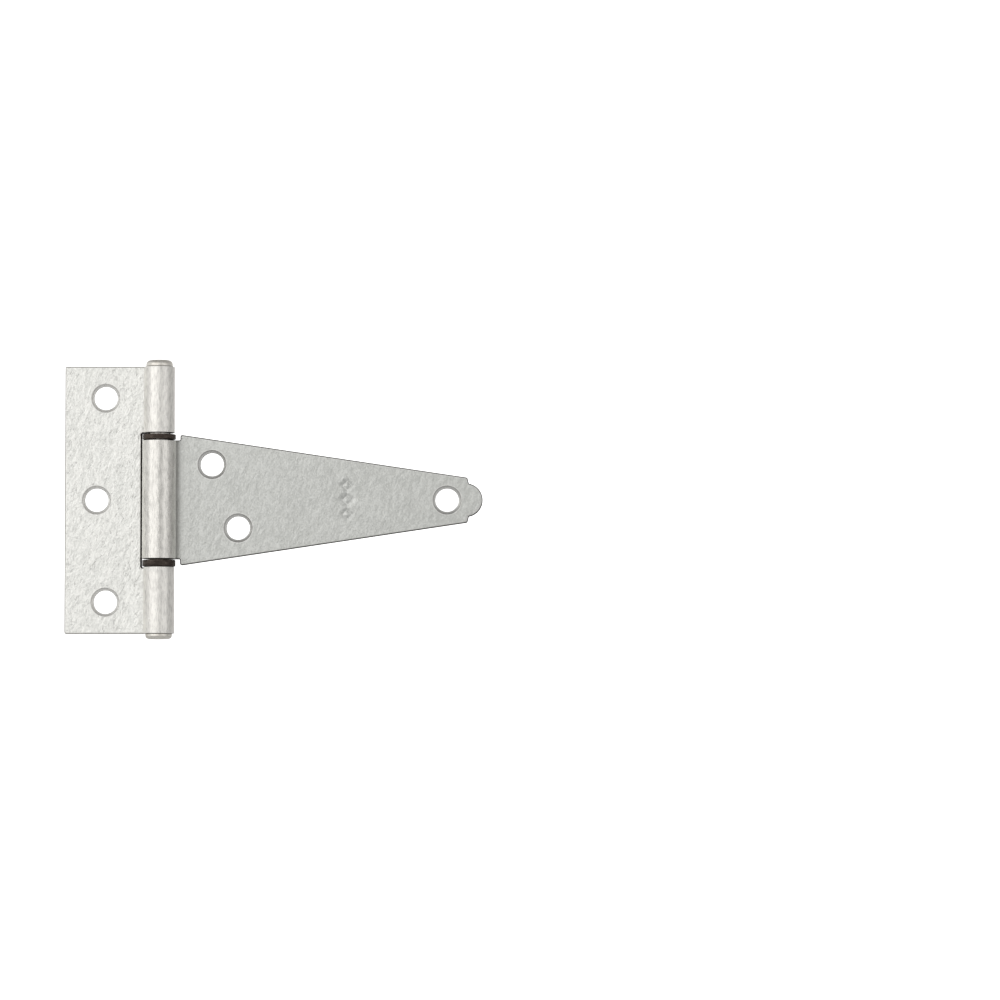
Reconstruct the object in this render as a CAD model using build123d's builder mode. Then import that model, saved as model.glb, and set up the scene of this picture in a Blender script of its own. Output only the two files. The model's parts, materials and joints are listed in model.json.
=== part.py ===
from build123d import *
import os
from math import acos, asin, atan2, degrees, hypot, radians, tan

# Light surface-mounted T hinge with a 3 in strap, in zinc-plated sheet steel. Millimetres.
# +Z runs up the pin, +X from the pin towards the strap's nose, and -Y out of the front,
# where the barrel is. The origin is on the plane of both leaves' backs, straight behind
# the pin, at mid-height.

# ---- driving dimensions ----
butt_height = 63.2  # along the pin
butt_reach = 22.45  # pin axis to the butt leaf's free edge
butt_sheet = 1.5
crank_reach = 8.0  # pin axis to where the butt leaf starts to rise to its smaller knuckles

strap_length = 76.2  # pin axis to the nose
strap_sheet = 1.8
strap_step = 5.1  # pin axis to the step where the strap widens
strap_root_half = 15.47  # half the strap's width at the step
shoulder_reach = 72.6
shoulder_half = 5.32
nose_radius = 3.95
nose_root = 0.7  # from the nose arc's centre to where it leaves the shoulders

pin_radius = 2.15
running_fit = 0.05  # radial clearance of the centre knuckle on the pin
seam_gap = 0.25  # between the end of a curl and its own leaf
centre_knuckle_height = 27.8
notch_top = 15.7  # gap in the butt leaf for the centre knuckle and the washers
notch_bottom = -15.85
notch_reach = 4.2  # pin axis to the notch's upright edge

butt_holes = [(-12.85, 24.1), (-14.95, 0), (-12.85, -24.1)]  # (x, z)
strap_holes = [(12.3, 8.4), (18.5, -6.6), (67.8, 0)]
hole_radius = 2.75
hole_bevel = 0.8  # bevelled edge on the front
sheared_edge = 0.3  # rounded front edge of the outlines

head_radius = 3.1
head_rim = 0.65  # height of a pin head's side
head_height = 1.35
head_edge = 0.3

washer_radius = 3.9
washer_bore = 2.25
washer_thickness = 1.5
washer_edge = 0.12
upper_washer_base = 14.0  # clear of the knuckles on either side
lower_washer_base = -15.75

# shallow stamped ornament on the strap: a row of plain lozenges
ornament_x = 44.2
lozenge_pitch = 3.4
lozenge_count = 3
lozenge_side = 1.9
lozenge_line = 0.38
stamp_depth = 0.15

# ---- derived places ----
strap_bore = pin_radius + running_fit
strap_knuckle = strap_bore + strap_sheet
butt_knuckle = pin_radius + butt_sheet
pin_y = -strap_knuckle  # the centre knuckle is tangent to the mounting plane
pin_axis = Axis((0, pin_y, 0), (0, 0, 1))
far = 4 * strap_knuckle  # deeper than any sheet or knuckle
snap = 0.01  # tolerance when picking edges by their place


def curl_end(knuckle, sheet):
    """Degrees past the pin's level at which a curl stops, just clear of its own leaf."""
    return degrees(asin((-pin_y - sheet - seam_gap) / knuckle))


def front_rims(piece, sheet):
    """The front edges of a leaf's screw holes."""
    circles = piece.edges().filter_by(GeomType.CIRCLE)
    level = circles.filter_by_position(Axis.Y, -sheet - snap, -sheet + snap)
    return level.filter_by(lambda edge: abs(edge.radius - hole_radius) < snap)


def front_outline(piece, sheet, low_x, high_x):
    """The front edges of a leaf's sheared outline between two places along X."""
    fronts = piece.faces().filter_by(Axis.Y).filter_by_position(Axis.Y, -sheet - snap, -sheet + snap)
    outline = fronts.sort_by(SortBy.AREA)[-1].outer_wire().edges()
    return outline.filter_by_position(Axis.X, low_x, high_x)


os.makedirs("parts", exist_ok=True)

# ---- butt leaf: plate with a notch, its two ears rolled into the outer knuckles ----
centre_distance = hypot(crank_reach, pin_y)
crank_turn = degrees(atan2(-pin_y, crank_reach) - asin(butt_knuckle / centre_distance))
crank_length = (centre_distance**2 - butt_knuckle**2) ** 0.5
crank_inset = butt_sheet * tan(radians(crank_turn / 2))  # the bend's inner corner, on the front
butt_curl = 270 - crank_turn + curl_end(butt_knuckle, butt_sheet)

with BuildPart() as butt_leaf:
    with BuildSketch(Plane.XY):
        with BuildLine():
            plate_back = Line((-butt_reach, 0), (-crank_reach, 0))
            crank = PolarLine(plate_back @ 1, crank_length, -crank_turn)
            inward = (crank % 1).rotate(Axis.Z, -90) * butt_sheet
            outer_curl = JernArc(crank @ 1, crank % 1, butt_knuckle, -butt_curl)
            inner_curl = JernArc(crank @ 1 + inward, crank % 1, pin_radius, -butt_curl)
            Line(outer_curl @ 1, inner_curl @ 1)
            Polyline(
                inner_curl @ 0,
                (-crank_reach - crank_inset, -butt_sheet),
                (-butt_reach, -butt_sheet),
                (-butt_reach, 0),
            )
        make_face()
    extrude(amount=butt_height / 2, both=True)
    with BuildSketch(Plane.XZ):
        with Locations((-notch_reach, notch_bottom)):
            Rectangle(far, notch_top - notch_bottom, align=(Align.MIN, Align.MIN))
        with Locations(*butt_holes):
            Circle(hole_radius)
    extrude(amount=far, both=True, mode=Mode.SUBTRACT)
    chamfer(front_rims(butt_leaf, butt_sheet), hole_bevel)
    fillet(front_outline(butt_leaf, butt_sheet, -butt_reach - snap, -crank_reach), sheared_edge)
butt_leaf.part.label = "butt_leaf"
export_step(butt_leaf.part, "parts/butt_leaf.step")

# ---- strap leaf: tapered plate with a stepped root and a round nose, rolled into the centre knuckle ----
strap_curl = 270 + curl_end(strap_knuckle, strap_sheet)
nose_x = strap_length - nose_radius
nose_half_angle = degrees(acos(nose_root / nose_radius))
ornament_plane = Plane(origin=(ornament_x, -strap_sheet, 0), x_dir=(1, 0, 0), z_dir=(0, -1, 0))

with BuildPart() as strap_leaf:
    with BuildSketch(Plane.XY):
        with BuildLine():
            strap_back = Line((strap_length, 0), (0, 0))
            outer_curl = JernArc(strap_back @ 1, strap_back % 1, strap_knuckle, strap_curl)
            inner_curl = JernArc((0, -strap_sheet), strap_back % 1, strap_bore, strap_curl)
            Line(outer_curl @ 1, inner_curl @ 1)
            Polyline(inner_curl @ 0, (strap_length, -strap_sheet), (strap_length, 0))
        make_face()
    extrude(amount=strap_root_half, both=True)
    with BuildSketch(Plane.XZ):
        with BuildLine():
            nose = CenterArc((nose_x, 0), nose_radius, 0, nose_half_angle)
            Polyline(
                nose @ 1,
                (shoulder_reach, shoulder_half),
                (strap_step, strap_root_half),
                (strap_step, centre_knuckle_height / 2),
                (-far, centre_knuckle_height / 2),
                (-far, 0),
            )
            mirror(about=Plane.XZ)
        make_face()
    extrude(amount=far, both=True, mode=Mode.INTERSECT)
    with BuildSketch(Plane.XZ):
        with Locations(*strap_holes):
            Circle(hole_radius)
    extrude(amount=far, both=True, mode=Mode.SUBTRACT)
    chamfer(front_rims(strap_leaf, strap_sheet), hole_bevel)
    fillet(front_outline(strap_leaf, strap_sheet, strap_step - snap, strap_length + snap), sheared_edge)
    with BuildSketch(ornament_plane):
        with GridLocations(0, lozenge_pitch, 1, lozenge_count):
            Rectangle(lozenge_side, lozenge_side, rotation=45)
        offset(amount=-lozenge_line, mode=Mode.SUBTRACT)
    extrude(amount=-stamp_depth, mode=Mode.SUBTRACT)
strap_leaf.part.label = "strap_leaf"
export_step(strap_leaf.part, "parts/strap_leaf.step")

# ---- hinge pin: rod with an upset, low-domed head at each end ----
pin_section = Plane(origin=(0, pin_y, 0), x_dir=(1, 0, 0), z_dir=(0, -1, 0))
head_base = butt_height / 2

with BuildPart() as hinge_pin:
    with BuildSketch(pin_section):
        with BuildLine():
            shank = Polyline((0, 0), (pin_radius, 0), (pin_radius, head_base))
            side = Polyline(shank @ 1, (head_radius, head_base), (head_radius, head_base + head_rim))
            crown = (0, head_base + head_height)
            TangentArc(crown, side @ 1, tangent=(1, 0))
            Line(crown, (0, 0))
        make_face()
        mirror(about=Plane.XZ)
    revolve(axis=pin_axis)
    head_edges = hinge_pin.edges().filter_by(GeomType.CIRCLE)
    outer_edges = head_edges.filter_by(lambda edge: abs(edge.radius - head_radius) < snap)
    fillet(outer_edges, head_edge)
hinge_pin.part.label = "hinge_pin"
export_step(hinge_pin.part, "parts/hinge_pin.step")

# ---- thrust washers: one in each gap between knuckles ----
for name, base in (("upper_washer", upper_washer_base), ("lower_washer", lower_washer_base)):
    with BuildPart() as washer:
        with BuildSketch(Plane(origin=(0, pin_y, base))):
            Circle(washer_radius)
            Circle(washer_bore, mode=Mode.SUBTRACT)
        extrude(amount=washer_thickness)
        chamfer(washer.edges().filter_by(GeomType.CIRCLE), washer_edge)
    washer.part.label = name
    export_step(washer.part, f"parts/{name}.step")
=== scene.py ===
"""Light T hinge in zinc-plated sheet steel: its looks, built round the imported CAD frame. Metres."""

import json
import math

import bmesh
import bpy
import numpy as np
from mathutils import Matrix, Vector
from mathutils.geometry import delaunay_2d_cdt


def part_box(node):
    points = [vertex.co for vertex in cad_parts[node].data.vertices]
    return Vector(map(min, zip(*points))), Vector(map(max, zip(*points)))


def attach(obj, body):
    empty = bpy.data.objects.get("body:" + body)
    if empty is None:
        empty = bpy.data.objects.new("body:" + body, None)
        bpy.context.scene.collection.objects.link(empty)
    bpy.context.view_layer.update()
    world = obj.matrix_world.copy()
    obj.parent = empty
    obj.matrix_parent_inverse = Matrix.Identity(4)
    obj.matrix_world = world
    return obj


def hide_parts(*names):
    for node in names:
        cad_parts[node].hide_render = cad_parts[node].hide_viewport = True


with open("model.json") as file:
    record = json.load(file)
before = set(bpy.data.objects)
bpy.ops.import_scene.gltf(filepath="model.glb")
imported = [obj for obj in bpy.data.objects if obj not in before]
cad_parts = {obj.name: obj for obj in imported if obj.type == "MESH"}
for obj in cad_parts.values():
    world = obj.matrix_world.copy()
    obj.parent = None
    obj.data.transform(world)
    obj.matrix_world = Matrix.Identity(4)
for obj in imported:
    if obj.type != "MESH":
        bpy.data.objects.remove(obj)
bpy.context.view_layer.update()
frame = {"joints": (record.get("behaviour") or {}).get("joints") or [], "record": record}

MM = 0.001

# ---- places that the frame states ----
joints = {joint["name"]: joint for joint in frame["joints"]}
mounts = {mount["name"]: mount for mount in frame["record"]["mounts"]}
butt_low, butt_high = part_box("butt_leaf")
_, strap_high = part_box("strap_leaf")
_, pin_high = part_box("hinge_pin")
PIN_Y = joints["strap_swing"]["pos_m"][1]
HOLE_RADIUS = mounts["strap_hole_nose"]["dims"]["r_mm"] * MM

# ---- dimensions shared with the CAD part ----
BUTT_SHEET = 1.5 * MM
STRAP_SHEET = 1.8 * MM
PIN_RADIUS = 2.15 * MM
SEAM_GAP = 0.25 * MM  # between the end of a curl and its own leaf
CRANK_REACH = 8.0 * MM  # pin axis to where the butt leaf rises to its smaller knuckles
NOTCH_REACH = 4.2 * MM
NOTCH_TOP = 15.7 * MM
NOTCH_BOTTOM = -15.85 * MM
SHOULDER_X = 72.6 * MM
SHOULDER_HALF = 5.32 * MM
NOSE_RADIUS = 3.95 * MM
NOSE_ROOT = 0.7 * MM  # from the nose arc's centre to where it leaves the shoulders
HEAD_RIM = 0.65 * MM
WASHER_BORE = 2.25 * MM
WASHER_EDGE = 0.12 * MM

# ---- places that differ a little from the CAD part, after a closer look at the photo ----
CENTRE_KNUCKLE_TOP = 13.85 * MM
CENTRE_KNUCKLE_BOTTOM = -14.0 * MM
NECK_TOP = 14.15 * MM
STRAP_STEP = 4.8 * MM
EAR_TRIM = 0.25 * MM  # the upper knuckle ends below the leaf's top
EAR_SLOPE = 1.2 * MM  # along the sheet, from the leaf's top down to the knuckle's
HEAD_RADIUS = 3.15 * MM
UPPER_WASHER_WEAR = 0.15 * MM  # off each face

# ---- how the sheets are sheared, punched and bent ----
FRONT_ROLLOVER = 0.3 * MM  # depth of the rounding, on the side that the punch entered
ROLLOVER_WIDTH = 0.37 * MM
BACK_EDGE = 0.14 * MM
CORNER_RADIUS = 0.45 * MM  # of the outlines' corners
SLIGHT_TURN = math.radians(20)  # less than this is a point of an arc, not a corner
BEVEL_DEPTH = 0.55 * MM
BEVEL_WIDTH = 0.68 * MM
HOLE_BACK = 0.1 * MM
CRANK_BEND = 2.0 * MM

# ---- where the sheets are dulled, rubbed, or given painted shade and painted highlights: 0 is clean plate, 1 is a bare sheared edge ----
BEVEL_RUB_AND_SHADE = 0.155, 0.41  # at the bevels' inner and outer edges: rubbed bright inside and dulled outside, partly as painted highlight and painted shade
HALO_WIDTH = 0.4 * MM  # round each bevelled rim, where a faint sheared value gives a painted highlight
HALO_HIGHLIGHT = 0.09
GAP_SHADE = 6.0  # the edges that face the gaps between the knuckles go up to this, and turn near black as painted shade
GAP_SHADE_SPAN = 17.0 * MM  # up and down from mid-height
ROLLED_RAMP = 1.2 * MM  # along the sheet, from flat plate to burnished curl

# ---- how finely the sheets are meshed ----
ARC_STEPS = 5
CORNER_STEPS = 5
NOSE_STEPS = 20
HOLE_STEPS = 96
OUTLINE_STEP = 0.3 * MM
SUPPORT = 0.04 * MM  # one more loop inside each rounded edge keeps the flats flat
PLATE_GRID = 1.0 * MM
CURL_GRID = 0.25 * MM
GRID_MARGIN = 0.7 * MM
LEAST_SHARE = 0.6  # keeps an inset corner from running away
STRAIGHT = 1e-6
TOUCHING = 1e-9

# ---- the pin and the washers ----
HEAD_UNDERCUT = 0.18 * MM
HEAD_STEPS = 6
CROWN_STEPS = 24
CROWN_FLATNESS = 0.32
SLOT_FADE = 0.15 * MM
PIN_SEGMENTS = 160
WASHER_EDGE_STEPS = 4
WASHER_SEGMENTS = 128

# ---- the stamped ornament: a row of plain lozenges ----
ORNAMENT_X = 44.2 * MM
LOZENGE_PITCH = 3.4 * MM
LOZENGE_HALF = 1.34 * MM
LOZENGE_LINE = 0.5 * MM
LOZENGE_CORNER = 0.12 * MM
LOZENGE_CORNER_STEPS = 3
LOZENGE_SIDE_STEPS = 6
LOZENGE_COUNT = 3
STAMP_DEPTH = 0.15 * MM


# ---------------------------------------------------------------- sheet metal
class Path:
    """The section of a rolled sheet's back face, as runs of (length, turn towards the front)."""

    def __init__(self, start, heading, side, runs):
        self.side = side  # +1 where the front is to the left of the way along, -1 to the right
        self.knots = []
        along = 0.0
        x, y = start
        for length, turn in runs:
            self.knots.append((along, x, y, heading, turn / length))
            x, y, heading = self.advance(x, y, heading, turn / length, length)
            along += length
        self.length = along

    def advance(self, x, y, heading, bend, length):
        if abs(bend) < STRAIGHT:
            return x + length * math.cos(heading), y + length * math.sin(heading), heading
        turned = heading + self.side * bend * length
        radius = self.side / bend
        x += radius * (math.sin(turned) - math.sin(heading))
        y -= radius * (math.cos(turned) - math.cos(heading))
        return x, y, turned

    def place(self, along, height, depth):
        """Where a point of the flat blank comes to lie once the sheet is rolled."""
        start, x, y, heading, bend = [k for k in self.knots if k[0] <= along + TOUCHING][-1]
        x, y, heading = self.advance(x, y, heading, bend, along - start)
        normal = heading + self.side * math.pi / 2
        return x + depth * math.cos(normal), y + depth * math.sin(normal), height


def arc(centre, radius, start, end, steps):
    angles = [start + (end - start) * i / steps for i in range(steps + 1)]
    return [centre + radius * Vector((math.cos(a), math.sin(a))) for a in angles]


def with_round_corners(corners, radius, steps):
    """A closed outline with its real corners rounded, the hollow ones half as much.

    The slight turns of an arc stay.
    """
    out = []
    for i, here in enumerate(corners):
        back = (corners[i - 1] - here).normalized()
        ahead = (corners[(i + 1) % len(corners)] - here).normalized()
        turn = math.pi - back.angle(ahead)
        if turn < SLIGHT_TURN:
            out.append(here)
            continue
        bend = ahead.cross(back)
        size = radius if bend > 0 else radius / 2
        centre = here + (back + ahead).normalized() * (size / math.cos(turn / 2))
        first = here + back * (size * math.tan(turn / 2)) - centre
        start = math.atan2(first.y, first.x)
        out += arc(centre, size, start, start + math.copysign(turn, bend), steps)
    return out


def resampled(points, step):
    """A closed outline with points added until none are further apart than step."""
    out = []
    for i, point in enumerate(points):
        ahead = points[(i + 1) % len(points)]
        pieces = max(1, math.ceil((ahead - point).length / step))
        out += [point.lerp(ahead, k / pieces) for k in range(pieces)]
    return out


def lozenge(centre, half):
    """An upright lozenge with rounded corners, always of as many points."""
    corners = arc(centre, half, 0, 2 * math.pi, 4)[:-1]
    corners = with_round_corners(corners, LOZENGE_CORNER, LOZENGE_CORNER_STEPS)
    out = []
    for i, point in enumerate(corners):
        out.append(point)
        if i % (LOZENGE_CORNER_STEPS + 1) == LOZENGE_CORNER_STEPS:
            ahead = corners[(i + 1) % len(corners)]
            steps = LOZENGE_SIDE_STEPS
            out += [point.lerp(ahead, k / steps) for k in range(1, steps)]
    return out


def inset(points, distance):
    """A closed outline moved into the material, which lies to its left."""
    out = []
    for i, point in enumerate(points):
        before = (point - points[i - 1]).normalized()
        after = (points[(i + 1) % len(points)] - point).normalized()
        normal = Vector((-before.y - after.y, before.x + after.x)).normalized()
        share = max(LEAST_SHARE, normal.dot(Vector((-after.y, after.x))))
        out.append(point + normal * (distance / share))
    return out


QUARTER = [math.pi / 2 * k / ARC_STEPS for k in range(ARC_STEPS + 1)]


def rounded_back(radius):
    """(inset, depth, sheared) steps over a rounded back edge, outwards from the back flat."""
    steps = [
        (radius * (1 - math.sin(a)), radius * (1 - math.cos(a)), math.sin(a) ** 2) for a in QUARTER
    ]
    return [(radius + SUPPORT, 0.0, 0.0), *steps]


def sheared_edge(sheet):
    """Steps round a sheared outline, rounded on the side that the punch entered."""
    front = [
        (
            ROLLOVER_WIDTH * (1 - math.cos(a)),
            sheet - FRONT_ROLLOVER * (1 - math.sin(a)),
            max(0.0, math.cos(a)),
        )
        for a in QUARTER
    ]
    return [*rounded_back(BACK_EDGE), *front, (ROLLOVER_WIDTH + SUPPORT, sheet, 0.0)]


def punched_rim(sheet):
    """Steps round a punched hole, its front rim bevelled."""
    inner, outer = BEVEL_RUB_AND_SHADE
    front = [
        (BEVEL_WIDTH * t, sheet - BEVEL_DEPTH * (1 - t), inner + (outer - inner) * t)
        for t in (k / ARC_STEPS for k in range(ARC_STEPS + 1))
    ]
    halo = [(BEVEL_WIDTH + SUPPORT, sheet, HALO_HIGHLIGHT), (BEVEL_WIDTH + HALO_WIDTH, sheet, 0.0)]
    return [*rounded_back(HOLE_BACK), *front, *halo]


class Blank:
    """A flat blank: vertices as (along, height, depth), how sheared each one is, and faces."""

    def __init__(self, sheet):
        self.sheet = sheet
        self.vertices = []
        self.sheared = []
        self.faces = []

    def loop(self, points, depth, sheared):
        first = len(self.vertices)
        self.vertices += [(p.x, p.y, depth) for p in points]
        self.sheared += [sheared] * len(points)
        return list(range(first, len(self.vertices)))

    def band(self, one, two):
        for i in range(len(one)):
            j = (i + 1) % len(one)
            self.faces.append((one[i], one[j], two[j], two[i]))

    def edge(self, points, profile):
        """Sweeps an edge profile round a closed outline, and returns its two end loops."""
        loops = [
            self.loop(inset(points, distance), depth, sheared)
            for distance, depth, sheared in profile(self.sheet)
        ]
        for one, two in zip(loops, loops[1:]):
            self.band(one, two)
        return loops[0], loops[-1]

    def groove(self, centre, outer, inner):
        """A stamped V-shaped line round a lozenge, on the front. Returns its two edge loops."""
        rings = [
            self.loop(lozenge(centre, half), self.sheet - depth, 0.0)
            for half, depth in ((outer, 0.0), ((outer + inner) / 2, STAMP_DEPTH), (inner, 0.0))
        ]
        self.band(rings[1], rings[0])
        self.band(rings[2], rings[1])
        return rings[0], rings[2]

    def fill(self, loops, grid, depth, flip):
        """Fills the flat between closed loops of vertices, through the points of a grid."""
        chosen = [v for loop in loops for v in loop]
        lines, outlines = [], set()
        for loop in loops:
            first = len(lines)
            lines += [(first + i, first + (i + 1) % len(loop)) for i in range(len(loop))]
            outlines |= {frozenset(pair) for pair in zip(loop, loop[1:] + loop[:1])}
        flat = [Vector(self.vertices[v][:2]) for v in chosen]
        points, _, faces, origins, *_ = delaunay_2d_cdt(flat + grid, lines, [], 1, TOUCHING)
        index = []
        for point, origin in zip(points, origins):
            known = [o for o in origin if o < len(chosen)]
            if not known:
                self.vertices.append((point.x, point.y, depth))
                self.sheared.append(0.0)
            index.append(chosen[known[0]] if known else len(self.vertices) - 1)
        triangles = [tuple(index[i] for i in face) for face in faces]
        for region in regions(triangles, outlines):
            shapes = [[Vector(self.vertices[v][:2]) for v in triangles[t]] for t in region]
            centre = sum(max(shapes, key=triangle_area), Vector((0, 0))) / 3
            rings = [[self.vertices[v][:2] for v in loop] for loop in loops]
            if sum(encloses(ring, centre) for ring in rings) % 2:
                self.faces += [triangles[t][:: -1 if flip else 1] for t in region]


def triangle_area(corners):
    a, b, c = corners
    return abs((b - a).cross(c - a))


def regions(triangles, outlines):
    """Groups triangles that meet across an edge which is no outline."""
    parent = list(range(len(triangles)))

    def root(t):
        while parent[t] != t:
            parent[t] = parent[parent[t]]
            t = parent[t]
        return t

    seen = {}
    for t, corners in enumerate(triangles):
        for pair in zip(corners, corners[1:] + corners[:1]):
            edge = frozenset(pair)
            if edge in outlines:
                continue
            if edge in seen:
                parent[root(t)] = root(seen[edge])
            seen[edge] = t
    groups = {}
    for t in range(len(triangles)):
        groups.setdefault(root(t), []).append(t)
    return groups.values()


def rolled_sheet(name, sheet, path, outline, holes, curl_start, gap_shade_start, lozenges=()):
    """A blank with rounded sheared edges, punched holes and stamped lozenges, bent along a path."""
    blank = Blank(sheet)
    edge = resampled(with_round_corners(outline, CORNER_RADIUS, CORNER_STEPS), OUTLINE_STEP)
    backs, fronts = [], []
    circles = [arc(centre, HOLE_RADIUS, 2 * math.pi, 0, HOLE_STEPS)[:-1] for centre in holes]
    for cut, profile in [(edge, sheared_edge)] + [(circle, punched_rim) for circle in circles]:
        back, front = blank.edge(cut, profile)
        backs.append(back)
        fronts.append(front)
    for centre in lozenges:
        fronts += blank.groove(centre, LOZENGE_HALF, LOZENGE_HALF - LOZENGE_LINE)

    half = max(p.y for p in outline)
    count = int(half / PLATE_GRID)
    rows = [PLATE_GRID * k for k in range(-count, count + 1)]
    columns = [*np.arange(PLATE_GRID, curl_start, PLATE_GRID)]
    columns += [*np.arange(curl_start, path.length, CURL_GRID)]
    border = inset(edge, GRID_MARGIN)
    hole_margin = HOLE_RADIUS + BEVEL_WIDTH + GRID_MARGIN
    lozenge_margin = LOZENGE_HALF + GRID_MARGIN
    grid = []
    for along in columns:
        levels = crossings(border, along)
        for height in rows:
            point = Vector((along, height))
            if sum(level < height for level in levels) % 2 == 0:
                continue
            if any((point - centre).length < hole_margin for centre in holes):
                continue
            if any(lozenge_reach(point - centre) < lozenge_margin for centre in lozenges):
                continue
            grid.append(point)
    blank.fill(backs, grid, 0.0, flip=True)
    blank.fill(fronts, grid, sheet, flip=False)

    mesh = bpy.data.meshes.new(name)
    mesh.from_pydata([path.place(*v) for v in blank.vertices], [], blank.faces)
    rolled = [
        min(1.0, max(0.0, (along - curl_start) / ROLLED_RAMP + 1)) for along, _, _ in blank.vertices
    ]
    # edges near the barrel, between the knuckles, are marked for the painted shade of the gaps
    sheared = [
        value * (GAP_SHADE if along > gap_shade_start and abs(height) < GAP_SHADE_SPAN else 1)
        for value, (along, height, _) in zip(blank.sheared, blank.vertices)
    ]
    return finished(name, mesh, sheared, rolled)


def lozenge_reach(offset):
    """The half diagonal of the lozenge that passes through a point this far from its centre."""
    return abs(offset.x) + abs(offset.y)


def crossings(outline, along):
    """The heights at which a closed outline crosses a line across the blank."""
    levels = []
    for (ax, ay), (bx, by) in zip(outline, outline[1:] + outline[:1]):
        if (ax > along) != (bx > along):
            levels.append(ay + (by - ay) * (along - ax) / (bx - ax))
    return levels


def encloses(outline, point):
    """Whether a closed outline goes round a point, by counting the crossings below it."""
    return sum(level < point.y for level in crossings(outline, point.x)) % 2 == 1


def finished(name, mesh, sheared, rolled):
    """Smooth-shades a mesh, turns its normals outwards and puts it in the scene."""
    body = bmesh.new()
    body.from_mesh(mesh)
    bmesh.ops.recalc_face_normals(body, faces=body.faces)
    body.to_mesh(mesh)
    body.free()
    mesh.shade_smooth()
    for kind, values in (("sheared", sheared), ("rolled", rolled)):
        mesh.attributes.new(kind, "FLOAT", "POINT").data.foreach_set("value", values)
    piece = bpy.data.objects.new(name, mesh)
    bpy.context.scene.collection.objects.link(piece)
    return piece


def curl_past_level(knuckle, sheet):
    """How far past the pin's level a curl goes before it stops, clear of its own leaf."""
    return math.asin((-PIN_Y - sheet - SEAM_GAP) / knuckle)


def make_butt_leaf():
    knuckle = PIN_RADIUS + BUTT_SHEET
    reach, half = -butt_low.x, butt_high.z
    distance = math.hypot(CRANK_REACH, PIN_Y)
    turn = math.atan2(-PIN_Y, CRANK_REACH) - math.asin(knuckle / distance)
    rise = math.sqrt(distance**2 - knuckle**2)
    curl = 1.5 * math.pi - turn + curl_past_level(knuckle, BUTT_SHEET)
    cut = CRANK_BEND / 2
    runs = [
        (reach - CRANK_REACH - cut, 0),
        (CRANK_BEND, turn),
        (rise - cut, 0),
        (knuckle * curl, curl),
    ]
    path = Path((butt_low.x, 0.0), 0.0, -1, runs)
    notch = reach - NOTCH_REACH
    curl_start = path.length - knuckle * curl
    ear_top = half - EAR_TRIM
    outline = [
        Vector(p)
        for p in (
            (0, -half),
            (path.length, -half),
            (path.length, NOTCH_BOTTOM),
            (notch, NOTCH_BOTTOM),
            (notch, NOTCH_TOP),
            (path.length, NOTCH_TOP),
            (path.length, ear_top),
            (curl_start, ear_top),
            (curl_start - EAR_SLOPE, half),
            (0, half),
        )
    ]
    names = ("butt_hole_upper", "butt_hole_middle", "butt_hole_lower")
    places = [mounts[name]["pos_m"] for name in names]
    holes = [Vector((reach + x, z)) for x, _, z in places]
    return rolled_sheet(
        "butt_leaf_sheet", BUTT_SHEET, path, outline, holes, curl_start, notch - GRID_MARGIN
    )


def make_strap_leaf():
    knuckle = -PIN_Y
    length, half = strap_high.x, strap_high.z
    curl = 1.5 * math.pi + curl_past_level(knuckle, STRAP_SHEET)
    path = Path((length, 0.0), math.pi, 1, [(length, 0), (knuckle * curl, curl)])
    nose_end = math.pi + math.acos(NOSE_ROOT / NOSE_RADIUS)
    nose = arc(Vector((NOSE_RADIUS, 0)), NOSE_RADIUS, math.pi, nose_end, NOSE_STEPS)
    lower = nose + [
        Vector(p)
        for p in (
            (length - SHOULDER_X, -SHOULDER_HALF),
            (length - STRAP_STEP, -half),
        )
    ]
    upper = [Vector((p.x, -p.y)) for p in reversed(lower[1:])]
    neck = [
        Vector(p)
        for p in (
            (length - STRAP_STEP, CENTRE_KNUCKLE_BOTTOM),
            (path.length, CENTRE_KNUCKLE_BOTTOM),
            (path.length, CENTRE_KNUCKLE_TOP),
            (length - STRAP_STEP, NECK_TOP),
        )
    ]
    names = ("strap_hole_upper", "strap_hole_lower", "strap_hole_nose")
    places = [mounts[name]["pos_m"] for name in names]
    holes = [Vector((length - x, z)) for x, _, z in places]
    middle = (LOZENGE_COUNT - 1) / 2
    lozenges = [
        Vector((length - ORNAMENT_X, (k - middle) * LOZENGE_PITCH)) for k in range(LOZENGE_COUNT)
    ]
    outline = lower + neck + upper
    return rolled_sheet(
        "strap_leaf_sheet", STRAP_SHEET, path, outline, holes, length, length, lozenges
    )


# ---------------------------------------------------------------- turned pieces
def lathe(name, profile, closed, segments):
    """Turns a profile of (radius, height, how sheared) about the pin's axis."""
    vertices, sheared, rings, faces = [], [], [], []
    for radius, height, value in profile:
        first = len(vertices)
        count = segments if radius > 0 else 1
        for k in range(count):
            angle = 2 * math.pi * k / segments
            vertices.append((radius * math.cos(angle), PIN_Y + radius * math.sin(angle), height))
        sheared += [value] * count
        rings.append([first + k % count for k in range(segments)])
    pairs = list(zip(rings, rings[1:]))
    if closed:
        pairs.append((rings[-1], rings[0]))
    for one, two in pairs:
        for k in range(segments):
            j = (k + 1) % segments
            faces.append(tuple(dict.fromkeys((one[k], one[j], two[j], two[k]))))
    mesh = bpy.data.meshes.new(name)
    mesh.from_pydata(vertices, [], faces)
    return finished(name, mesh, sheared, [1.0] * len(vertices))


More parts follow.
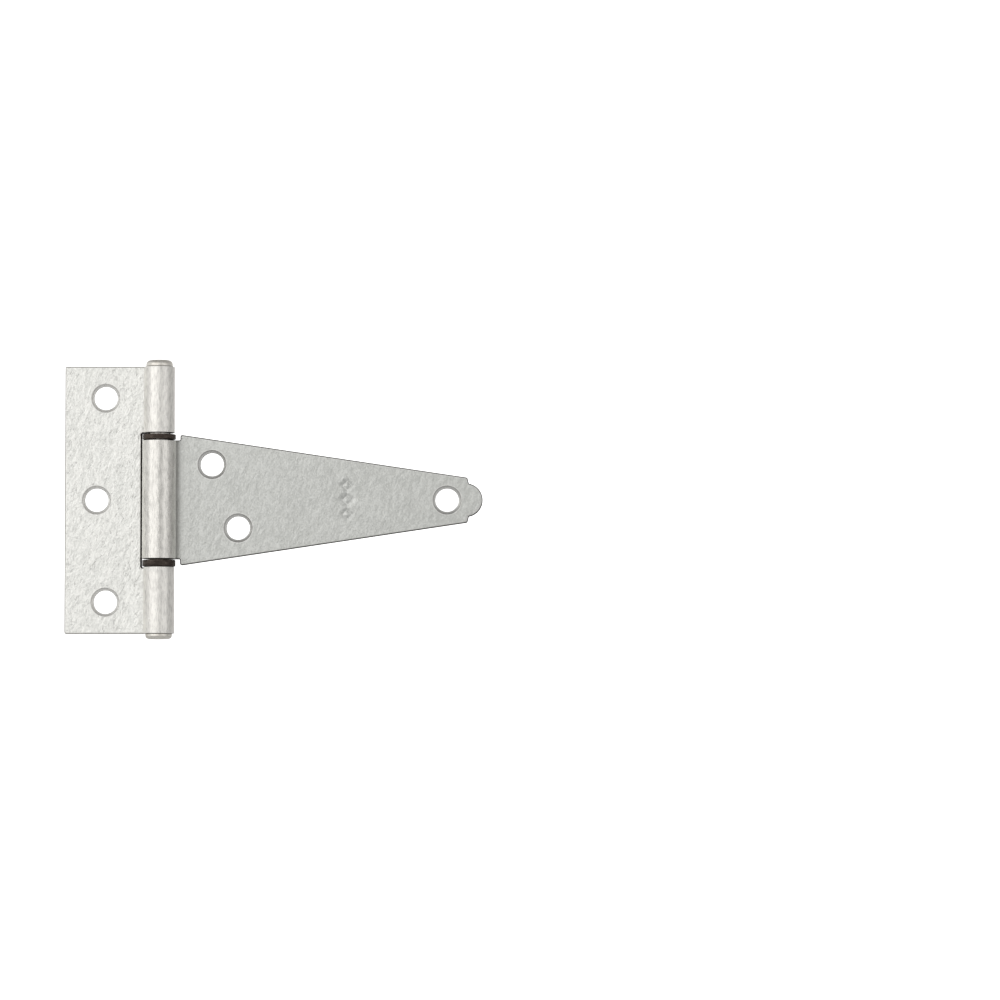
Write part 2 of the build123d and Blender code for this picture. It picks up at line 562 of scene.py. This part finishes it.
def pin_head(base, top):
    """The pin's end from its shank to its low dome, the rim rounded by the riveting."""
    # the third values mark painted shade, darkest where the head meets the knuckle
    profile = [(PIN_RADIUS, base - HEAD_UNDERCUT, 0.0), (PIN_RADIUS, base, 1.0)]
    for k in range(HEAD_STEPS + 1):
        angle = math.pi / 2 * k / HEAD_STEPS
        radius = HEAD_RADIUS - HEAD_UNDERCUT * (1 - math.sin(angle))
        profile.append((radius, base + HEAD_UNDERCUT * (1 - math.cos(angle)), 1 - k / HEAD_STEPS))
    rim = base + HEAD_RIM - HEAD_UNDERCUT
    for k in range(CROWN_STEPS):
        angle = math.pi / 2 * k / CROWN_STEPS
        radius = HEAD_RADIUS * math.cos(angle) ** CROWN_FLATNESS
        profile.append((radius, rim + (top - rim) * math.sin(angle), 0.0))
    return [*profile, (0.0, top, 0.0)]


def make_pin():
    """A rod with an upset head at each end, with painted shade in the gap above the lower washer."""
    base, top = butt_high.z, pin_high.z
    lower = [(radius, -height, value) for radius, height, value in reversed(pin_head(base, top))]
    # painted shade on the shank in the gap above the lower washer
    shaded_slot = [
        (PIN_RADIUS, NOTCH_BOTTOM - SLOT_FADE, 0.0),
        (PIN_RADIUS, NOTCH_BOTTOM, 1.0),
        (PIN_RADIUS, CENTRE_KNUCKLE_BOTTOM, 1.0),
        (PIN_RADIUS, CENTRE_KNUCKLE_BOTTOM + SLOT_FADE, 0.0),
    ]
    upper = pin_head(base - EAR_TRIM, top)
    return lathe("hinge_pin_rod", lower + shaded_slot + upper, closed=False, segments=PIN_SEGMENTS)


def make_washer(node, wear):
    """A flat ring, its edges a little rounded, with some wear taken off each face."""
    low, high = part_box(node)
    outer = (high.x - low.x) / 2
    base, top = low.z + wear, high.z - wear
    corners = (  # radius, height, directions of the arc's centre, half turns at the arc's start
        (WASHER_BORE, base, 1, 1, 1.0),
        (outer, base, -1, 1, 1.5),
        (outer, top, -1, -1, 2.0),
        (WASHER_BORE, top, 1, -1, 2.5),
    )
    profile = []
    for radius, height, inward, upward, start in corners:
        for k in range(WASHER_EDGE_STEPS + 1):
            angle = math.pi * (start + 0.5 * k / WASHER_EDGE_STEPS)
            across = radius + WASHER_EDGE * (inward + math.cos(angle))
            profile.append((across, height + WASHER_EDGE * (upward + math.sin(angle)), 1.0))
    return lathe(node + "_ring", profile, closed=True, segments=WASHER_SEGMENTS)


# ---------------------------------------------------------------- materials
class Surface:
    """A metal's node tree: noise, ramps and mixes over object coordinates, in metres."""

    def __init__(self, name):
        self.material = bpy.data.materials.new(name)
        self.material.use_nodes = True
        self.tree = self.material.node_tree
        self.tree.nodes.clear()
        output = self.tree.nodes.new("ShaderNodeOutputMaterial")
        self.shader = self.tree.nodes.new("ShaderNodeBsdfPrincipled")
        self.tree.links.new(self.shader.outputs["BSDF"], output.inputs["Surface"])
        self.place = self.tree.nodes.new("ShaderNodeTexCoord").outputs["Object"]

    def put(self, socket, value):
        if isinstance(value, bpy.types.NodeSocket):
            self.tree.links.new(value, socket)
        else:
            socket.default_value = value

    def stretched(self, tilt, stretch):
        """Object coordinates squeezed along one direction in the leaf's plane, tilted from +Z."""
        mapping = self.tree.nodes.new("ShaderNodeMapping")
        mapping.vector_type = "TEXTURE"
        mapping.inputs["Rotation"].default_value = (0, math.radians(tilt), 0)
        mapping.inputs["Scale"].default_value = (1, 1, stretch)
        self.put(mapping.inputs["Vector"], self.place)
        return mapping.outputs["Vector"]

    def noise(self, size, detail, rough, seed, place=None):
        node = self.tree.nodes.new("ShaderNodeTexNoise")
        node.noise_dimensions = "4D"
        node.inputs["W"].default_value = seed
        node.inputs["Scale"].default_value = 1 / size
        node.inputs["Detail"].default_value = detail
        node.inputs["Roughness"].default_value = rough
        self.put(node.inputs["Vector"], place or self.place)
        return node.outputs["Fac"]

    def along(self, axis):
        node = self.tree.nodes.new("ShaderNodeSeparateXYZ")
        self.put(node.inputs[0], self.place)
        return node.outputs[axis]

    def attribute(self, name):
        node = self.tree.nodes.new("ShaderNodeAttribute")
        node.attribute_name = name
        return node.outputs["Fac"]

    def ranged(self, value, low, high, to_low=0.0, to_high=1.0):
        node = self.tree.nodes.new("ShaderNodeMapRange")
        node.interpolation_type = "SMOOTHSTEP"
        self.put(node.inputs["Value"], value)
        for key, number in (
            ("From Min", low), ("From Max", high), ("To Min", to_low), ("To Max", to_high),
        ):
            self.put(node.inputs[key], number)
        return node.outputs["Result"]

    def sum(self, *terms):
        """Adds up (value, weight) pairs."""
        total = None
        for value, weight in terms:
            node = self.tree.nodes.new("ShaderNodeMath")
            node.operation = "MULTIPLY_ADD"
            self.put(node.inputs[0], value)
            self.put(node.inputs[1], weight)
            self.put(node.inputs[2], 0.0 if total is None else total)
            total = node.outputs[0]
        return total

    def product(self, one, two):
        node = self.tree.nodes.new("ShaderNodeMath")
        node.operation = "MULTIPLY"
        self.put(node.inputs[0], one)
        self.put(node.inputs[1], two)
        return node.outputs[0]

    def mix(self, share, one, two):
        node = self.tree.nodes.new("ShaderNodeMix")
        node.data_type = "RGBA"
        self.put(node.inputs["Factor"], share)
        for socket, colour in ((node.inputs[6], one), (node.inputs[7], two)):
            self.put(socket, (*colour, 1) if isinstance(colour, tuple) else colour)
        return node.outputs[2]

    def bump(self, height, depth, before=None):
        node = self.tree.nodes.new("ShaderNodeBump")
        node.inputs["Strength"].default_value = 1.0
        node.inputs["Distance"].default_value = depth
        self.put(node.inputs["Height"], height)
        if before:
            self.put(node.inputs["Normal"], before)
        return node.outputs["Normal"]

    def finish(self, colour, rough, normal):
        self.put(self.shader.inputs["Base Color"], colour)
        self.put(self.shader.inputs["Roughness"], rough)
        self.put(self.shader.inputs["Normal"], normal)
        self.shader.inputs["Metallic"].default_value = 1.0
        return self.material


# ---- sizes, slants and depths of the plating's marks ----
SLANT = 22, 1.9  # degrees from upright, and how many times longer than wide
DRAWN = 0, 4.6
GRAIN_SIZE = 0.45 * MM
CLOUD_SIZE = 9 * MM
STREAK_SIZE = 0.38 * MM
STREAK_DEPTH = 0.045 * MM
SPECK_SIZE = 0.8 * MM
PIT_SIZE = 0.62 * MM
SEAM_SHADE_STARTS, SEAM_SHADE_FULL = -0.8 * MM, -1.4 * MM  # painted shade beside the barrel, from the mounting plane towards the front

# ---- which values of a noise, or of how sheared a place is, make each mark ----
MOTTLE_RANGE = 0.42, 0.59
STREAK_RANGE = 0.35, 0.6
SPECK_RANGE = 0.66, 0.74
PIT_RANGE = 0.56, 0.68
RUB_HIGHLIGHT_STARTS = 0.02, 0.14
RUB_HIGHLIGHT_ENDS = 0.2, 0.62, 0.7, 0.0  # and its share before and after
WORN_AND_SHADE_RANGE = 0.2, 0.75
GAP_SHADE_RANGE = 1.0, 1.7

# ---- colours of the rubbed places, of painted highlights and of painted shade, and tones relative to the plate's own colours ----
RUB_AND_HIGHLIGHT_BRIGHT = (0.97, 0.965, 0.95)
GAP_SHADE_BLACK = (0.028, 0.021, 0.017)
PIT_TONE = 0.6
STREAK_TONE = 0.73
SPECK_TONE = 1.12
SPECK_SHARE = 0.5


def toned(colour, tone):
    return tuple(min(1.0, tone * c) for c in colour)


def zinc(
    name, light, dark, pitting, barrel, shade, relief, relief_size, grain_relief, rough,
    barrel_rough, seed, seam_shade=None,
):
    """Zinc plate on rolled sheet: pebbled on the flat, burnished along the barrel.

    The seam argument says where a painted shade lies along X, on the plate beside the barrel:
    where it is full, where it has faded, and its share at each.
    """
    s = Surface(name)
    rolled = s.attribute("rolled")
    sheared = s.attribute("sheared")
    slanted = s.stretched(*SLANT)
    drawn = s.stretched(*DRAWN)
    pebbles = s.noise(relief_size, 3.0, 0.6, seed, slanted)
    grain = s.noise(GRAIN_SIZE, 2.0, 0.6, seed + 3)
    clouds = s.noise(CLOUD_SIZE, 3.0, 0.5, seed + 5)
    streaks = s.noise(STREAK_SIZE, 4.0, 0.7, seed + 7, drawn)
    specks = s.ranged(s.noise(SPECK_SIZE, 2.0, 0.5, seed + 9), *SPECK_RANGE)
    pits = s.ranged(s.noise(PIT_SIZE, 2.0, 0.6, seed + 11, slanted), *PIT_RANGE)

    mottle = s.sum((pebbles, 0.4), (grain, 0.45), (clouds, 0.15))
    flat = s.mix(s.ranged(mottle, *MOTTLE_RANGE), dark, light)
    flat = s.mix(s.product(pits, pitting), flat, toned(dark, PIT_TONE))
    burnish = s.mix(s.ranged(streaks, *STREAK_RANGE), toned(barrel, STREAK_TONE), barrel)
    colour = s.mix(rolled, flat, burnish)
    colour = s.mix(s.product(specks, SPECK_SHARE), colour, toned(light, SPECK_TONE))
    # lightly sheared places are rubbed bright, partly as a painted highlight; more sheared ones are
    # dull, partly as painted shade
    rub_and_highlight = s.product(s.ranged(sheared, *RUB_HIGHLIGHT_STARTS), s.ranged(sheared, *RUB_HIGHLIGHT_ENDS))
    colour = s.mix(rub_and_highlight, colour, RUB_AND_HIGHLIGHT_BRIGHT)
    # sheared edges and hole bevels take the shade colour: dull bare steel, darkened further as
    # painted shade
    worn_and_shaded = s.ranged(s.sum((sheared, 1.0), (grain, 0.2)), *WORN_AND_SHADE_RANGE)
    colour = s.mix(worn_and_shaded, colour, shade)
    # painted shade on the plate's front beside the barrel
    if seam_shade:
        flat_share = s.sum((rolled, -1.0), (1.0, 1.0))
        in_front = s.ranged(s.along("Y"), SEAM_SHADE_STARTS, SEAM_SHADE_FULL)
        seam_shade_share = s.product(s.ranged(s.along("X"), *seam_shade), s.product(flat_share, in_front))
        colour = s.mix(seam_shade_share, colour, shade)
    # painted shade: the edges that face the gaps between the knuckles go near black
    colour = s.mix(s.ranged(sheared, *GAP_SHADE_RANGE), colour, GAP_SHADE_BLACK)

    # a noise averages a half, so the roughness given is about the mean
    flat_rough = s.sum((grain, 0.10), (clouds, 0.12), (1.0, rough - 0.11))
    roll_rough = s.sum((streaks, 0.12), (grain, 0.06), (1.0, barrel_rough - 0.09))
    difference = s.sum((roll_rough, 1.0), (flat_rough, -1.0))
    roughness = s.sum((s.product(difference, rolled), 1.0), (flat_rough, 1.0), (worn_and_shaded, 0.15))

    flatness = s.sum((rolled, -0.85), (1.0, 1.0))
    pebbled = s.sum((pebbles, 1.0), (grain, grain_relief), (pits, -pitting))
    normal = s.bump(s.product(pebbled, flatness), relief)
    normal = s.bump(s.product(streaks, rolled), STREAK_DEPTH, normal)
    return s.finish(colour, roughness, normal)


def pin_zinc():
    """Zinc on the riveted pin, with painted shade beneath its heads and in the gap above the lower
    washer.
    """
    s = Surface("pin_zinc")
    grain = s.noise(0.4 * MM, 3.0, 0.6, 41)
    clouds = s.noise(1.6 * MM, 2.0, 0.5, 43)
    tone = s.ranged(s.sum((grain, 0.5), (clouds, 0.5)), 0.35, 0.65)
    colour = s.mix(tone, (0.66, 0.63, 0.58), (0.83, 0.81, 0.77))
    # painted shade beneath the heads and in the gap above the lower washer
    pin_shade = s.ranged(s.attribute("sheared"), 0.25, 0.95)
    colour = s.mix(pin_shade, colour, (0.10, 0.09, 0.08))
    rough = s.sum((grain, 0.12), (clouds, 0.1), (1.0, 0.2))
    return s.finish(colour, rough, s.bump(s.sum((grain, 0.4), (clouds, 1.0)), 0.05 * MM))


def dark_phosphate():
    """Dark, slightly brown steel, with rub marks round the washer's rim."""
    s = Surface("dark_phosphate")
    grain = s.noise(0.25 * MM, 4.0, 0.65, 51)
    rubs = s.noise(0.9 * MM, 3.0, 0.6, 53, s.stretched(90, 3.0))
    tone = s.ranged(s.sum((grain, 0.4), (rubs, 0.6)), 0.38, 0.68)
    colour = s.mix(tone, (0.035, 0.028, 0.024), (0.12, 0.098, 0.084))
    rough = s.sum((grain, 0.25), (1.0, 0.34))
    return s.finish(colour, rough, s.bump(s.sum((grain, 0.5), (rubs, 1.0)), 0.03 * MM))


# ---------------------------------------------------------------- assembly
butt_zinc = zinc(
    "mottled_zinc",
    light=(0.975, 0.975, 0.95),
    dark=(0.83, 0.835, 0.81),
    pitting=0.3,
    barrel=(0.87, 0.856, 0.824),
    # dull sheared edges, partly painted shade
    shade=(0.46, 0.45, 0.425),
    relief=0.18 * MM,
    relief_size=0.85 * MM,
    grain_relief=0.6,
    rough=0.44,
    barrel_rough=0.36,
    seed=3,
)
strap_zinc = zinc(
    "satin_zinc",
    light=(0.675, 0.685, 0.668),
    dark=(0.55, 0.56, 0.543),
    pitting=0.12,
    barrel=(0.735, 0.721, 0.693),
    # dull sheared edges, near black as painted shade
    shade=(0.13, 0.127, 0.12),
    relief=0.085 * MM,
    relief_size=0.9 * MM,
    grain_relief=0.5,
    rough=0.38,
    barrel_rough=0.21,
    seed=23,
    seam_shade=(3.9 * MM, 5.3 * MM, 0.55, 0.0),
)
PIECES = (
    (make_butt_leaf(), "butt_leaf", "leaf_zinc", butt_zinc),
    (make_strap_leaf(), "strap_leaf", "strap_zinc", strap_zinc),
    (make_pin(), "hinge_pin", "pin_steel", pin_zinc()),
    (
        make_washer("upper_washer", UPPER_WASHER_WEAR),
        "upper_washer",
        "washer_dark",
        dark_phosphate(),
    ),
    (make_washer("lower_washer", 0.0), "lower_washer", "washer_dark", dark_phosphate()),
)
bodies = frame["record"]["behaviour"]["bodies"]
body_of = {node: body for body, nodes in bodies.items() for node in nodes}
for piece, node, slot, material in PIECES:
    piece.data.materials.append(material)
    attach(piece, body_of[node])
    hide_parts(node)


# ---------------------------------------------------------------- studio
FRAME_WIDTH = 236.4 * MM  # what the picture spans at the part
SENSOR_WIDTH = 36  # millimetres, as Blender counts it
AIM = Vector((0.0803, 0.0, 0.0001))
DISTANCE = 1.15
ELEVATION = math.radians(-3.0)
LIGHTS_AIM = Vector((0.02, 0.0, 0.0))
WORLD_COLOUR = (0.76, 0.755, 0.74, 1)
WORLD_DIMMING = (  # direction, where along it the change starts and ends, and its factor
    ("Z", 0.15, 0.75, 0.58),
    ("X", 0.55, 0.95, 0.72),
    ("X", -0.55, -0.95, 1.2),
)
FLOOR_SIZE = 8.0, 8.0
FLOOR_PLACE = (0, 0, -0.25)
BACKDROP_SIZE = 6.0, 3.0
BACKDROP_PLACE = (0.08, 1.3, 1.25)


def towards(azimuth, height):
    """A direction given as degrees round from the front, and degrees up."""
    azimuth, height = math.radians(azimuth), math.radians(height)
    level = math.cos(height)
    return Vector((math.sin(azimuth) * level, -math.cos(azimuth) * level, math.sin(height)))


def softbox(name, azimuth, height, distance, size, power, colour):
    data = bpy.data.lights.new(name, "AREA")
    data.shape = "RECTANGLE"
    data.size, data.size_y = size
    data.energy = power
    data.color = colour
    light = bpy.data.objects.new(name, data)
    bpy.context.scene.collection.objects.link(light)
    out = towards(azimuth, height)
    light.location = LIGHTS_AIM + out * distance
    light.rotation_euler = out.to_track_quat("Z", "Y").to_euler()
    light.visible_camera = False


softbox("key", -35, 10, 0.9, (1.2, 0.9), 2.1, (1.0, 0.99, 0.97))
softbox("fill", 47, 4, 0.9, (0.66, 0.8), 0.66, (1.0, 0.99, 0.975))

camera_data = bpy.data.cameras.new("camera")
camera_data.sensor_width = SENSOR_WIDTH
camera_data.lens = SENSOR_WIDTH * DISTANCE / FRAME_WIDTH
camera = bpy.data.objects.new("camera", camera_data)
bpy.context.scene.collection.objects.link(camera)
away = Vector((0, -math.cos(ELEVATION), math.sin(ELEVATION)))
camera.location = AIM + away * DISTANCE
camera.rotation_euler = away.to_track_quat("Z", "Y").to_euler()
bpy.context.scene.camera = camera

world = bpy.data.worlds.new("studio")
world.use_nodes = True
bpy.context.scene.world = world
nodes, links = world.node_tree.nodes, world.node_tree.links
sky = nodes.new("ShaderNodeTexCoord")
split = nodes.new("ShaderNodeSeparateXYZ")
links.new(sky.outputs["Generated"], split.inputs[0])
strength = None
for axis, start, end, factor in WORLD_DIMMING:
    dim = nodes.new("ShaderNodeMapRange")
    links.new(split.outputs[axis], dim.inputs["Value"])
    for key, number in (
        ("From Min", start), ("From Max", end), ("To Min", 1.0), ("To Max", factor),
    ):
        dim.inputs[key].default_value = number
    if strength is None:
        strength = dim.outputs["Result"]
        continue
    product = nodes.new("ShaderNodeMath")
    product.operation = "MULTIPLY"
    links.new(strength, product.inputs[0])
    links.new(dim.outputs["Result"], product.inputs[1])
    strength = product.outputs[0]
links.new(strength, nodes["Background"].inputs["Strength"])
nodes["Background"].inputs["Color"].default_value = WORLD_COLOUR


def stage_plane(name, size, place, turned, emission, albedo):
    """A plain plane of the studio, turned up from level and glowing by its emission."""
    s = Surface(name)
    s.shader.inputs["Base Color"].default_value = (albedo, albedo, albedo, 1)
    s.shader.inputs["Roughness"].default_value = 0.9
    s.shader.inputs["Specular IOR Level"].default_value = 0.1
    s.shader.inputs["Emission Color"].default_value = (1, 1, 1, 1)
    s.shader.inputs["Emission Strength"].default_value = emission
    mesh = bpy.data.meshes.new(name)
    x, y = size[0] / 2, size[1] / 2
    mesh.from_pydata([(-x, -y, 0), (x, -y, 0), (x, y, 0), (-x, y, 0)], [], [(0, 1, 2, 3)])
    mesh.materials.append(s.material)
    plane = bpy.data.objects.new(name, mesh)
    bpy.context.scene.collection.objects.link(plane)
    plane.location = place
    plane.rotation_euler = (turned, 0, 0)
    return plane


stage_plane("floor", FLOOR_SIZE, FLOOR_PLACE, turned=0.0, emission=0.0, albedo=0.65)
backdrop = stage_plane(
    "backdrop", BACKDROP_SIZE, BACKDROP_PLACE, turned=math.pi / 2, emission=1.0, albedo=0.8
)
backdrop.visible_glossy = False

bpy.context.scene.view_settings.view_transform = "Standard"
